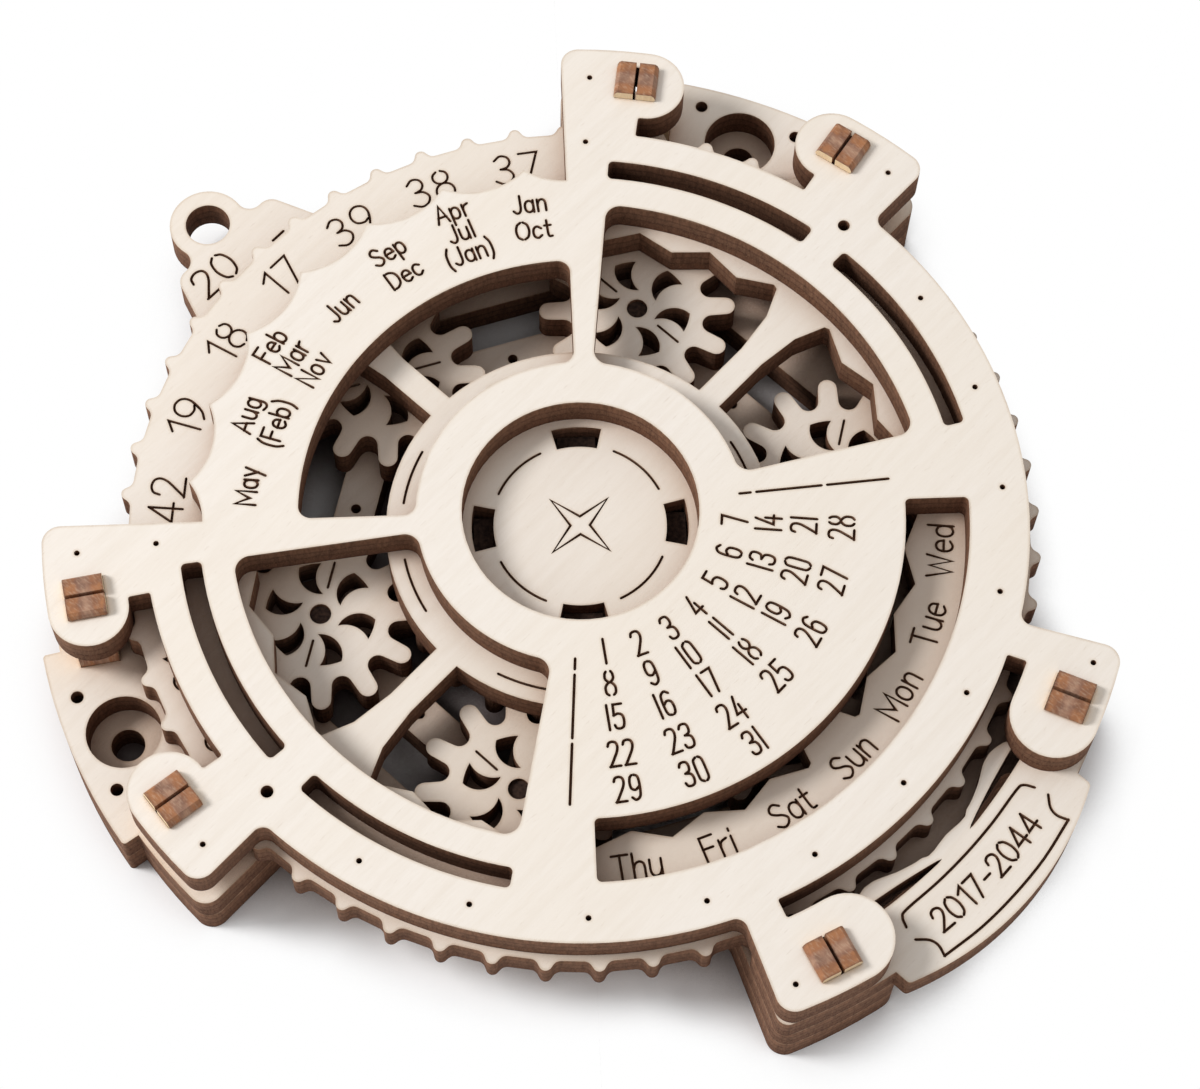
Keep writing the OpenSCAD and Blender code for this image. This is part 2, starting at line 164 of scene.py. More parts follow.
world = bpy.data.worlds.new("white_room")
bpy.context.scene.world = world
add = empty_tree(world)
fill = add("ShaderNodeBackground", {"Color": pure_white, "Strength": room_fill})
backdrop = add("ShaderNodeBackground", {"Color": pure_white, "Strength": 1.0})
mix = add("ShaderNodeMixShader", {0: seen_directly(add), 1: fill.outputs[0],
                                  2: backdrop.outputs[0]})
add("ShaderNodeOutputWorld", {"Surface": mix.outputs[0]})

soft_box = bpy.data.objects.new("soft_box", bpy.data.lights.new("soft_box", "AREA"))
soft_box.data.shape = "DISK"
soft_box.data.size = box_width
soft_box.data.energy = box_power
soft_box.location = box_distance * direction(box_side, box_height)
soft_box.rotation_mode = "QUATERNION"
soft_box.rotation_quaternion = soft_box.location.to_track_quat("Z", "Y")
bpy.context.collection.objects.link(soft_box)


# ---- Birch plywood -----------------------------------------------------------------------
# Every plate is cut by laser from one sheet of three-ply birch, 3 mm thick and sanded. The
# faces stay pale with a fine grain, and every cut wall is charred, with its veneers showing.
sheet = 0.003
face_tolerance, square_on = 0.03, 0.9
birch_pale = (0.85, 0.785, 0.715, 1)
birch_streak = (0.72, 0.63, 0.53, 1)
birch_warm = (0.82, 0.73, 0.62, 1)
pore_brown = (0.42, 0.30, 0.20, 1)
toast_yellow = (0.74, 0.60, 0.40, 1)
scorch_brown = (0.33, 0.19, 0.10, 1)
soot = (0.040, 0.020, 0.014, 1)
char_light = (0.30, 0.17, 0.10, 1)
# The last step lightens the top of each sheet. This is partly thinner char there and partly
# a painted highlight, where that edge would catch the light.
veneer_and_highlight_steps = [
    (0.00, (0.100, 0.048, 0.032, 1)), (0.14, (0.150, 0.074, 0.046, 1)),
    (0.31, (0.150, 0.072, 0.044, 1)), (0.36, (0.098, 0.047, 0.030, 1)),
    (0.42, (0.180, 0.093, 0.058, 1)), (0.58, (0.200, 0.104, 0.065, 1)),
    (0.64, (0.120, 0.059, 0.038, 1)), (0.71, (0.235, 0.120, 0.073, 1)),
    (0.92, (0.215, 0.108, 0.065, 1)), (1.00, (0.400, 0.250, 0.160, 1))]
veneer_waver = 0.24
# Painted shade: the wood's colour darkens to a warm brown where little of the sky is seen
# within the reach, as in hollows and between plates. Walls take less of it than faces.
painted_shade_steps = [(0.02, (0.12, 0.075, 0.065, 1)), (0.15, (0.28, 0.175, 0.135, 1)),
               (0.31, (0.78, 0.60, 0.49, 1)), (0.54, (0.98, 0.945, 0.91, 1)),
               (0.80, (1.0, 1.0, 1.0, 1))]
painted_shade_reach, wall_painted_shade, face_painted_shade = 0.008, 0.4, 1.0
burnt_edge_reach = 0.0005
wall_roughness, face_roughness = 0.9, 0.65
wall_shine, face_shine = 0.1, 0.25
grain_strength, grain_relief = 0.3, 0.00005

# Each pattern is the waves a metre each way, and how much fine detail it has.
broad_grain = ((18, 60, 18), 2.0)
streaky_grain = ((130, 1500, 130), 5.0)
fibre_grain = ((900, 7000, 900), 3.0)
pore_grain = ((900, 5200, 900), 2.0)
edge_blotches = ((420, 420, 420), 3.0)
veneer_waves = ((700, 700, 300), 4.0)
soot_licks = ((3600, 3600, 900), 4.0)
char_specks = ((9000, 9000, 7000), 2.0)


def blend_colour(add, factor, first, second):
    """first where factor is 0 and second where it is 1."""
    made = add("ShaderNodeMix", {0: factor, 6: first, 7: second}, data_type="RGBA")
    return made.outputs[2]


def multiply_colour(add, factor, first, second):
    """first times second, as far as the factor says."""
    made = add("ShaderNodeMix", {0: factor, 6: first, 7: second}, data_type="RGBA",
               blend_type="MULTIPLY")
    return made.outputs[2]


def stretched_noise(add, place, turn, scale, detail):
    """Noise drawn out along one direction of the plane: scale gives waves a metre each way,
    before they are turned about the upright by the angle given."""
    lined = add("ShaderNodeMapping", {"Vector": place, "Rotation": (0, 0, turn),
                                      "Scale": scale})
    return add("ShaderNodeTexNoise", {"Vector": lined.outputs[0], "Scale": 1.0,
                                      "Detail": detail, "Roughness": 0.55}).outputs["Fac"]


def ramped(add, value, low, high, top=1.0):
    """0 where the value is at low, rising evenly to top where it is at high."""
    spread = add("ShaderNodeMapRange", {"Value": value, "From Min": low, "From Max": high,
                                        "To Min": 0.0, "To Max": top})
    return spread.outputs[0]


def edge_turn(add, reach):
    """How far a bevel of that reach turns the normal: the cosine is 1 well inside a face and
    falls to about 0.7 at its edge."""
    bevel = add("ShaderNodeBevel", {"Radius": reach}, samples=5)
    true = add("ShaderNodeNewGeometry").outputs["True Normal"]
    return add("ShaderNodeVectorMath", {0: bevel.outputs[0], 1: true},
               operation="DOT_PRODUCT").outputs["Value"]


def wood_surface(add, colour, roughness, shine, height, strength, relief):
    """The wood's shader, with a bump as deep as the relief wherever the height is 1."""
    bump = add("ShaderNodeBump", {"Height": height, "Strength": strength,
                                  "Distance": relief})
    surface = add("ShaderNodeBsdfPrincipled", {
        "Base Color": colour, "Roughness": roughness, "Normal": bump.outputs[0],
        "Specular IOR Level": shine})
    add("ShaderNodeOutputMaterial", {"Surface": surface.outputs[0]})


def birch_material(name, grain_turn, tint):
    """Sanded birch on the faces of a plate and char on everything the laser has cut.

    A point is on a face where its normal is upright and its height is a whole number of
    sheets. On a wall the height's fraction of a sheet gives the veneer, shifted a little by
    noise, with a lighter band at each sheet's top that is partly thinner char and partly a
    painted highlight. Face edges are toasted and scorched by how far a bevel would turn
    them, and painted shade darkens a point by the share of the sky that it sees.
    """
    material = bpy.data.materials.new(name)
    add = empty_tree(material)
    coords = add("ShaderNodeTexCoord")
    place = coords.outputs["Object"]
    upright = add("ShaderNodeSeparateXYZ", {0: coords.outputs["Normal"]}).outputs[2]
    height = add("ShaderNodeSeparateXYZ", {0: place}).outputs[2]
    sheets_up = arithmetic(add, "DIVIDE", height, sheet)
    whole = arithmetic(add, "ROUND", sheets_up)
    off_layer = arithmetic(add, "ABSOLUTE", arithmetic(add, "SUBTRACT", sheets_up, whole))
    flat = arithmetic(add, "GREATER_THAN", arithmetic(add, "ABSOLUTE", upright), square_on)
    level_face = arithmetic(add, "LESS_THAN", off_layer, face_tolerance)
    on_face = arithmetic(add, "MULTIPLY", flat, level_face)

    broad = stretched_noise(add, place, grain_turn, *broad_grain)
    streaks = stretched_noise(add, place, grain_turn, *streaky_grain)
    fibres = stretched_noise(add, place, grain_turn, *fibre_grain)
    pores = stretched_noise(add, place, grain_turn, *pore_grain)
    grain = blend_colour(add, ramped(add, streaks, 0.42, 0.74, 0.3), birch_pale,
                         birch_streak)
    mottled = blend_colour(add, ramped(add, fibres, 0.35, 0.75, 0.16), grain, birch_streak)
    warmed = blend_colour(add, ramped(add, broad, 0.45, 0.75, 0.5), mottled, birch_warm)
    flecked = blend_colour(add, ramped(add, pores, 0.66, 0.76, 0.16), warmed, pore_brown)
    tinted = multiply_colour(add, 1.0, flecked, tint)
    turn = edge_turn(add, burnt_edge_reach)
    toasted = blend_colour(add, ramped(add, turn, 0.995, 0.84, 0.30), tinted, toast_yellow)
    uneven = stretched_noise(add, place, 0.0, *edge_blotches)
    scorched = arithmetic(add, "MULTIPLY", ramped(add, turn, 0.87, 0.74, 0.8),
                          arithmetic(add, "MULTIPLY_ADD", uneven, 1.4, -0.15))
    face = blend_colour(add, scorched, toasted, scorch_brown)

    wavy = stretched_noise(add, place, 0.0, *veneer_waves)
    within = arithmetic(add, "MULTIPLY_ADD", wavy, veneer_waver, arithmetic(
        add, "SUBTRACT", arithmetic(add, "FRACT", sheets_up), veneer_waver / 2))
    # Veneer colours, with a painted highlight along each sheet's top edge.
    veneers = colour_steps(add, within, veneer_and_highlight_steps)
    licks = stretched_noise(add, place, 0.0, *soot_licks)
    sooty = blend_colour(add, ramped(add, licks, 0.62, 0.34, 0.50), veneers, soot)
    specks = stretched_noise(add, place, 0.0, *char_specks)
    wall = blend_colour(add, ramped(add, specks, 0.46, 0.74, 0.55), sooty, char_light)

    def by_side(on_wall, facing_up):
        """The first number on a cut wall and the second on a face."""
        return arithmetic(add, "MULTIPLY_ADD", on_face, facing_up - on_wall, on_wall)

    # Painted shade: darker and browner where the sky is shut out within the reach.
    painted_shade = colour_steps(add, open_sky(add, painted_shade_reach, 5), painted_shade_steps)
    with_painted_shade = multiply_colour(add, by_side(wall_painted_shade, face_painted_shade),
                             blend_colour(add, on_face, wall, face), painted_shade)
    raised = arithmetic(add, "ADD", arithmetic(add, "MULTIPLY", fibres, 0.6),
                        arithmetic(add, "MULTIPLY", streaks, 0.4))
    wood_surface(add, with_painted_shade, roughness=by_side(wall_roughness, face_roughness),
                 shine=by_side(wall_shine, face_shine), height=raised,
                 strength=grain_strength, relief=grain_relief)
    return material


# ---- Engraver's alphabet -----------------------------------------------------------------
# The laser draws words and numbers as single lines, burnt 0.4 mm into the wood. Each sign is
# a few strokes on a square one capital high: straight lines, soft curves through points, or
# closed loops. The large round signs are left open at top and bottom, as in a stencil.
line_width, line_depth = 0.00027, 0.0004
overcut, weld_distance = 0.0002, 1e-7
curve_steps = 4
mm = 0.001
bowl = ("loop", [(.23, 0), (.40, .09), (.46, .33), (.40, .57), (.23, .66), (.06, .57),
                 (0, .33), (.06, .09)])
arch = ("curve", [(0, .38), (.08, .58), (.24, .66), (.39, .58), (.43, .40), (.43, .2),
                  (.43, 0)])
signs = {
    "0": (.56, [("curve", [(.21, .99), (.07, .85), (0, .5), (.07, .15), (.21, .01)]),
                ("curve", [(.35, .99), (.49, .85), (.56, .5), (.49, .15), (.35, .01)])]),
    "1": (.32, [("line", [(.02, .78), (.3, 1), (.3, 0)])]),
    "2": (.55, [("curve", [(.02, .74), (.09, .93), (.28, 1), (.47, .92), (.52, .73),
                           (.42, .5), (.22, .26), (0, 0)]),
                ("line", [(-.02, 0), (.56, 0)])]),
    "3": (.54, [("curve", [(.02, .86), (.2, 1), (.4, .94), (.47, .76), (.38, .59),
                           (.2, .53)]),
                ("curve", [(.18, .53), (.4, .48), (.53, .28), (.43, .07), (.22, 0),
                           (0, .12)])]),
    "4": (.58, [("line", [(.42, 1), (0, .28), (.58, .28)]),
                ("line", [(.42, 1), (.42, 0)])]),
    "5": (.54, [("line", [(.5, 1), (.1, 1), (.05, .56)]),
                ("curve", [(.05, .56), (.26, .64), (.46, .55), (.54, .33), (.44, .09),
                           (.22, 0), (0, .11)])]),
    "6": (.55, [("curve", [(.46, .98), (.24, .84), (.06, .55), (0, .3)]),
                ("loop", [(.28, 0), (.48, .09), (.55, .31), (.48, .53), (.28, .61),
                          (.08, .51), (0, .3), (.08, .09)])]),
    "7": (.54, [("line", [(0, 1), (.54, 1), (.18, 0)])]),
    "8": (.55, [("curve", [(.2, .99), (.08, .9), (.05, .75), (.12, .61), (.275, .545),
                           (.43, .61), (.5, .75), (.47, .9), (.35, .99)]),
                ("curve", [(.2, .01), (.06, .09), (0, .27), (.08, .46), (.275, .545),
                           (.47, .46), (.55, .27), (.49, .09), (.35, .01)])]),
    "9": (.55, [("curve", [(.1, 0), (.31, .15), (.49, .45), (.55, .7), (.48, .9), (.28, 1),
                           (.08, .91), (0, .69), (.07, .47), (.27, .38), (.42, .43)])]),
    "-": (.42, [("line", [(.04, .45), (.38, .45)])]),
    "(": (.16, [("curve", [(.16, 1.08), (.03, .78), (0, .42), (.03, .06), (.16, -.24)])]),
    ")": (.16, [("curve", [(0, 1.08), (.13, .78), (.16, .42), (.13, .06), (0, -.24)])]),
    "A": (.64, [("line", [(0, 0), (.32, 1), (.64, 0)]), ("line", [(.11, .34), (.53, .34)])]),
    "D": (.58, [("line", [(0, 0), (0, 1)]),
                ("curve", [(.12, 1), (.3, .97), (.51, .8), (.58, .5), (.51, .2), (.3, .03),
                           (.12, 0)])]),
    "F": (.5, [("line", [(0, 0), (0, 1), (.5, 1)]), ("line", [(0, .52), (.4, .52)])]),
    "J": (.42, [("curve", [(.4, 1), (.4, .6), (.39, .25), (.31, .05), (.16, 0), (0, .14)])]),
    "M": (.74, [("line", [(0, 0), (0, 1), (.37, .3), (.74, 1), (.74, 0)])]),
    "N": (.58, [("line", [(0, 0), (0, 1), (.58, 0), (.58, 1)])]),
    "O": (.7, [("curve", [(.27, .99), (.08, .84), (0, .5), (.08, .16), (.27, .01)]),
               ("curve", [(.43, .99), (.62, .84), (.7, .5), (.62, .16), (.43, .01)])]),
    "S": (.54, [("curve", [(.5, .84), (.3, 1), (.1, .93), (.04, .74), (.2, .57), (.4, .45),
                           (.53, .26), (.43, .07), (.22, 0), (0, .15)])]),
    "T": (.6, [("line", [(0, 1), (.6, 1)]), ("line", [(.3, 1), (.3, 0)])]),
    "W": (.92, [("line", [(0, 1), (.23, 0), (.46, .9), (.69, 0), (.92, 1)])]),
    "a": (.48, [bowl, ("line", [(.46, .66), (.46, 0)])]),
    "b": (.48, [bowl, ("line", [(0, 1), (0, 0)])]),
    "c": (.44, [("curve", [(.43, .54), (.24, .66), (.06, .57), (0, .33), (.06, .09),
                           (.24, 0), (.43, .12)])]),
    "d": (.48, [bowl, ("line", [(.46, 1), (.46, 0)])]),
    "e": (.46, [("line", [(.0, .36), (.46, .36)]),
                ("curve", [(.46, .36), (.41, .57), (.24, .66), (.06, .57), (0, .33),
                           (.06, .09), (.24, 0), (.43, .1)])]),
    "g": (.48, [bowl, ("curve", [(.46, .66), (.46, .3), (.46, -.06), (.38, -.25),
                                 (.22, -.3), (.03, -.22)])]),
    "h": (.45, [arch, ("line", [(0, 1), (0, 0)])]),
    "i": (.06, [("line", [(.03, .66), (.03, 0)]), ("line", [(.03, .9), (.03, .97)])]),
    "l": (.06, [("line", [(.03, 1), (.03, 0)])]),
    "n": (.45, [arch, ("line", [(0, .66), (0, 0)])]),
    "o": (.48, [bowl]),
    "p": (.48, [bowl, ("line", [(0, .66), (0, -.32)])]),
    "r": (.3, [("curve", [(0, .36), (.08, .57), (.3, .66)]), ("line", [(0, .66), (0, 0)])]),
    "t": (.32, [("curve", [(.13, .94), (.13, .5), (.14, .14), (.2, .02), (.33, .02)]),
                ("line", [(0, .66), (.31, .66)])]),
    "u": (.45, [("curve", [(0, .66), (0, .24), (.07, .06), (.21, 0), (.36, .08),
                           (.44, .28)]), ("line", [(.44, .66), (.44, 0)])]),
    "v": (.46, [("line", [(0, .66), (.23, 0), (.46, .66)])]),
    "y": (.46, [("line", [(0, .66), (.24, .04)]), ("line", [(.46, .66), (.08, -.32)])]),
}


def dense_path(kind, points):
    """Points close together along a stroke, and whether it is closed.

    A curve or loop is the Catmull-Rom spline through the points, in a few steps a span: on
    each span it is (2b + (c - a) t + (2a - 5b + 4c - d) t^2 + (3b - 3c + d - a) t^3) / 2.
    """
    p = np.array(points, float)
    if kind == "line":
        return p, False
    closed = kind == "loop"
    around = np.vstack([p[-1:], p, p[:2]] if closed else [2 * p[:1] - p[1:2], p,
                                                         2 * p[-1:] - p[-2:-1]])
    spans = len(p) if closed else len(p) - 1
    t = np.linspace(0, 1, curve_steps, endpoint=False)[None, :, None]
    a, b, c, d = (around[k:k + spans, None, :] for k in range(4))
    soft = (2 * b + (c - a) * t + (2 * a - 5 * b + 4 * c - d) * t ** 2
            + (3 * b - 3 * c + d - a) * t ** 3) / 2
    soft = soft.reshape(-1, 2)
    return (soft if closed else np.vstack([soft, p[-1:]])), closed


def on_circle(radius, angle):
    """The point at a radius and an angle from +X, in degrees, about the main axis."""
    a = math.radians(angle)
    return np.array([radius * math.cos(a), radius * math.sin(a)])


def written(text, capital, centre, top, stretch=1.0, spacing=0.2, alphabet=signs):
    """Strokes of a word on the plate, in mm, one capital high and centred on a point.

    top is the angle in degrees that the letters' tops point to. stretch multiplies the
    signs' widths, and spacing is the gap after each in capitals. Each stroke is (rank,
    path, closed), where rank counts the strokes of one sign, which may touch each other.
    """
    widths = np.array([alphabet[sign][0] * stretch for sign in text])
    starts = np.concatenate([[0], np.cumsum(widths + spacing)[:-1]])
    middle = (starts[-1] + widths[-1]) / 2
    up = on_circle(1, top)
    right = np.array([up[1], -up[0]])
    strokes = []
    for sign, start in zip(text, starts):
        for rank, (kind, points) in enumerate(alphabet[sign][1]):
            path, closed = dense_path(kind, points)
            across = (path[:, :1] * stretch + start - middle) * capital
            along = (path[:, 1:] - 0.5) * capital
            strokes.append((rank, np.array(centre) + across * right + along * up, closed))
    return strokes


def straight(start, stop):
    """One straight stroke between two points."""
    return (0, np.array([start, stop]), False)


def groove_solid(path, closed, width, top, bottom):
    """The closed solid that the laser takes away along one stroke.

    At each point the section is a trapezium across the path: full width at the top and half
    of it at the bottom. Joints are mitred by dividing by the cosine of half the turn, which
    counts as no less than the mitre's limit. Past a free end, at the nib's distances in
    widths, the width follows a half circle.
    """
    mitre_limit = 0.45
    nib_reach = np.array([[0.5], [0.36], [0.15]])
    nib_width = np.array([[0.25], [0.69], [0.95]])
    if closed:
        after, before = np.roll(path, -1, 0) - path, path - np.roll(path, 1, 0)
    else:
        run = np.diff(path, axis=0)
        first, last = run[:1] / np.linalg.norm(run[0]), run[-1:] / np.linalg.norm(run[-1])
        nib = width * nib_reach
        path = np.vstack([path[:1] - first * nib, path, path[-1:] + last * nib[::-1]])
        run = np.diff(path, axis=0)
        after, before = np.vstack([run, run[-1:]]), np.vstack([run[:1], run])
    after = after / np.linalg.norm(after, axis=1, keepdims=True)
    before = before / np.linalg.norm(before, axis=1, keepdims=True)
    heading = after + before
    heading /= np.linalg.norm(heading, axis=1, keepdims=True)
    mitre = 1 / np.clip((heading * after).sum(1, keepdims=True), mitre_limit, 1)
    side = np.column_stack([-heading[:, 1], heading[:, 0]]) * mitre * width / 2
    if not closed:
        side[:3] *= nib_width
        side[-3:] *= nib_width[::-1]
    count = len(path)
    ring = np.zeros((count, 4, 3))
    section = ((1, top), (-1, top), (-0.5, bottom), (0.5, bottom))
    for corner, (across, height) in enumerate(section):
        ring[:, corner, :2] = path + side * across
        ring[:, corner, 2] = height
    spans = np.arange(count if closed else count - 1)[:, None]
    corners = np.arange(4)[None, :]
    here, there = spans * 4, (spans + 1) % count * 4
    turned = (corners + 1) % 4
    quads = np.stack([here + corners, here + turned, there + turned, there + corners], -1)
    quads = quads.reshape(-1, 4)
    if not closed:
        caps = np.array([[3, 2, 1, 0], [0, 1, 2, 3]]) + [[0], [(count - 1) * 4]]
        quads = np.vstack([quads, caps])
    return ring.reshape(-1, 3), quads


def engrave(node, strokes, width, face, material, name, body, sawn=()):
    """A copy of a CAD plate with the strokes cut into one face, in place of the plate.

    face is the height of that face. Strokes of one rank never cross, so each rank is one
    clean solid and one cut. Each solid of points and faces in sawn is cut away as well.
    """
    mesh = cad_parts[node].data.copy()
    welded = bmesh.new()
    welded.from_mesh(mesh)
    bmesh.ops.remove_doubles(welded, verts=welded.verts, dist=weld_distance)
    welded.to_mesh(mesh)
    welded.free()
    piece = bpy.data.objects.new(name, mesh)
    bpy.context.collection.objects.link(piece)
    solids = list(sawn)
    for rank in sorted({stroke[0] for stroke in strokes}):
        vertices, quads, first = [], [], 0
        for _, path, closed in (stroke for stroke in strokes if stroke[0] == rank):
            ring, faces = groove_solid(path * mm, closed, width, face + overcut,
                                       face - line_depth)
            vertices.append(ring)
            quads.append(faces + first)
            first += len(ring)
        solids.append((np.vstack(vertices).tolist(), np.vstack(quads).tolist()))
    cutters = []
    for points, faces in solids:
        tool_mesh = bpy.data.meshes.new("engraver")
        tool_mesh.from_pydata(points, [], faces)
        tool = bpy.data.objects.new("engraver", tool_mesh)
        bpy.context.collection.objects.link(tool)
        cut = piece.modifiers.new("cut", "BOOLEAN")
        cut.operation = "DIFFERENCE"
        cut.solver = "MANIFOLD"
        cut.object = tool
        cutters.append(tool)
    graph = bpy.context.evaluated_depsgraph_get()
    carved = bpy.data.meshes.new_from_object(piece.evaluated_get(graph))
    carved.name = name
    carved.materials.clear()
    carved.materials.append(material)
    piece.modifiers.clear()
    piece.data = carved
    for tool in cutters:
        bpy.data.objects.remove(tool)
    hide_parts(node)
    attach(piece, body)


# ---- Base plate and middle frame ---------------------------------------------------------
# The two lowest layers, clamped together under the lugs. Between the lugs their ring stands
# back behind the disc's teeth, so that a fingertip can reach them. The tab with the eye, on
# the upper one, carries the century.
birch_base = birch_material("birch_base", 0.2, (0.97, 0.95, 0.93, 1))
birch_frame = birch_material("birch_frame", -0.4, (0.98, 0.965, 0.95, 1))
ring_edge, ring_corner, past_ring = 32.7, 1.0, 36.0
corner_points, edge_points = 9, 48
low_lug_side, upper_lug_sides = -62.8, (0, 45)
tab_side, tab_offset = 104.67, 15.46
century_capital, century_place = 2.45, (-2.85, 37.55)
dash_start, dash_stop = (2.6, 36.3), (3.75, 36.3)

# The cuts run a hair inside the lugs' straight sides, so that no sliver is left there.
shaved = -0.01


def ring_turn(angle, offset, hand):
    """Where a straight side at the angle given turns into the ring's edge, as points in mm.

    The side is offset * across + t * along, with across square to along on the hand's side.
    The corner's centre is one corner radius off the side and off the edge's circle, so its
    t is the root of (edge + corner)^2 - (offset + corner)^2.
    """
    along = on_circle(1, angle)
    across = hand * np.array([-along[1], along[0]])
    start = offset * across + along * math.sqrt(past_ring ** 2 - offset ** 2)
    centre = (offset + ring_corner) * across + along * math.sqrt(
        (ring_edge + ring_corner) ** 2 - (offset + ring_corner) ** 2)
    first = math.atan2(-across[1], -across[0])
    last = math.atan2(-centre[1], -centre[0])
    last = first + (last - first + math.pi) % (2 * math.pi) - math.pi
    around = np.linspace(first, last, corner_points)
    turn = centre + ring_corner * np.column_stack([np.cos(around), np.sin(around)])
    return np.vstack([start, turn])


def between_lugs(sides, layer):
    """A closed solid that takes away what stands past the ring's edge between two sides.

    Each side is (angle, offset), and layer counts the sheets from below. The outline runs
    in along one side, round on the edge's circle and out along the other, and comes back
    on a wider circle.
    """
    inward, outward = ring_turn(*sides[0], 1), ring_turn(*sides[1], -1)[::-1]
    loops = []
    for radius, start, stop in ((ring_edge, inward[-1], outward[0]),
                                (past_ring, inward[0], outward[-1])):
        begin = math.atan2(start[1], start[0])
        sweep = (math.atan2(stop[1], stop[0]) - begin) % (2 * math.pi)
        steps = begin + sweep * np.linspace(0, 1, edge_points)[1:-1]
        loops.append(radius * np.column_stack([np.cos(steps), np.sin(steps)]))
    outline = np.vstack([inward, loops[0], outward, loops[1][::-1]])[::-1] * mm
    count = len(outline)
    points = np.vstack([np.column_stack([outline, np.full(count, height)]) for height in
                        (layer * sheet - overcut, (layer + 1) * sheet + overcut)])
    here, there = np.arange(count), np.roll(np.arange(count), -1)
    walls = np.column_stack([here, there, there + count, here + count]).tolist()
    return points.tolist(), walls + [here[::-1].tolist(), (here + count).tolist()]


def mirrored(sides):
    """The same gap on the other side of the calendar."""
    return [(180 - angle, offset) for angle, offset in reversed(sides)]


side_gap = [(low_lug_side, shaved), (upper_lug_sides[0], shaved)]
top_gap = [(upper_lug_sides[1], shaved), (180 - upper_lug_sides[1], shaved)]
tab_gap = [(upper_lug_sides[1], shaved), (tab_side, tab_offset)]
base_gaps = [side_gap, mirrored(side_gap), top_gap]
engrave("base_plate", [], line_width, sheet, birch_base, "base_plate_trimmed", "frame",
        [between_lugs(gap, 0) for gap in base_gaps])
middle_gaps = [side_gap, mirrored(side_gap), tab_gap, mirrored(tab_gap)]
tab_strokes = written("20", century_capital, century_place, 90, stretch=1.15, spacing=0.24)
tab_strokes.append(straight(dash_start, dash_stop))
engrave("middle_frame", tab_strokes, line_width, 2 * sheet, birch_frame,
        "middle_frame_engraved", "frame",
        [between_lugs(gap, 1) for gap in middle_gaps])


# ---- Axles, pegs and dowels --------------------------------------------------------------
# Small pegs that hold the gears and the hub together. The laser has charred axles and hub
# pegs right through, and only their sunken ends show, nearly black. The dowels, which tie
# the sun gear to the disc, are bare wood.
peg_dark, peg_light = (0.020, 0.012, 0.010, 1), (0.060, 0.035, 0.025, 1)
dowel_dark, dowel_light = (0.38, 0.25, 0.15, 1), (0.55, 0.40, 0.27, 1)
peg_mottle = ((3000, 3000, 700), 4.0)
end_grain_strength, end_grain_relief = 0.4, 0.00008


def peg_material(name, dark, light):
    """Rough end grain: noise between two browns, finest across the peg."""
    material = bpy.data.materials.new(name)
    add = empty_tree(material)
    place = add("ShaderNodeTexCoord").outputs["Object"]
    mottle = stretched_noise(add, place, 0.0, *peg_mottle)
    colour = colour_steps(add, mottle, [(0.35, dark), (0.70, light)])
    wood_surface(add, colour, roughness=0.9, shine=0.1, height=mottle,
                 strength=end_grain_strength, relief=end_grain_relief)
    return material


def dress(node, material):
    """Gives a CAD node one material and leaves its mesh alone."""
    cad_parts[node].data.materials.clear()
    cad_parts[node].data.materials.append(material)


charred_peg = peg_material("charred_peg", peg_dark, peg_light)
dowel_wood = peg_material("dowel_wood", dowel_dark, dowel_light)
for number in range(1, 7):
    dress(f"gear_axle_{number}", charred_peg)
for number in range(1, 5):
    dress(f"hub_peg_{number}", charred_peg)
    dress(f"hub_dowel_{number}", dowel_wood)


# ---- Hub boss and gears ------------------------------------------------------------------
# In the second layer the sun gear, tied to the disc above it, turns round the fixed hub boss
# and drives six pinwheel gears on axles. Each of these has two short score lines opposite
# each other, which show how it is turned.
birch_gear = birch_material("birch_gear", 0.9, (0.98, 0.96, 0.94, 1))
play = 0.00005
gear_face = 2 * sheet - play
fine_line_width = 0.00025
planet_orbit, score_start, score_stop = 21.0, 2.3, 4.4
score_turns = {1: 90, 2: 150, 3: 30, 4: 90, 5: 30, 6: 30}
dress("hub_boss", birch_base)
dress("sun_gear", birch_gear)
for number, turn in score_turns.items():
    middle = on_circle(planet_orbit, 60 * number - 30)
    marks = [straight(middle + on_circle(score_start, side),
                      middle + on_circle(score_stop, side)) for side in (turn, turn + 180)]
    engrave(f"planet_gear_{number}", marks, fine_line_width, gear_face, birch_gear,
            f"planet_gear_{number}_scored", f"planet_{number}")


# ---- Calendar disc -----------------------------------------------------------------------
# The turning disc shows one year of twenty-eight through each notch of the fan, and the
# weekdays through the curved window. The leap years stand out of order between the others.
# Eight short arcs line the hub ring.
birch_disc = birch_material("birch_disc", 1.3, (0.99, 0.98, 0.97, 1))
disc_face = 3 * sheet - play
year_order = [17, 18, 19, 42, 20, 21, 22, 23, 40, 24, 25, 26, 27, 44, 28, 29, 30, 31, 43, 32,
              33, 34, 35, 41, 36, 37, 38, 39]
year_step = 360 / len(year_order)
year_capital, year_radius, year_lead = 2.6, 32.08, 0.5
weekdays = ["Sun", "Mon", "Tue", "Wed", "Thu", "Fri", "Sat"]
weekday_capital, weekday_radius = 1.95, 27.85
hub_arc_radius, hub_arc_middle, hub_arc_half = 13.8, 19.5, 9.5
arc_step = 2


def arc_stroke(radius, start, stop):
    """A stroke along an arc about the main axis, with a point about every two degrees."""
    count = max(3, int(abs(stop - start) / arc_step) + 2)
    turns = np.radians(np.linspace(start, stop, count))
    return (0, np.column_stack([np.cos(turns), np.sin(turns)]) * radius, False)


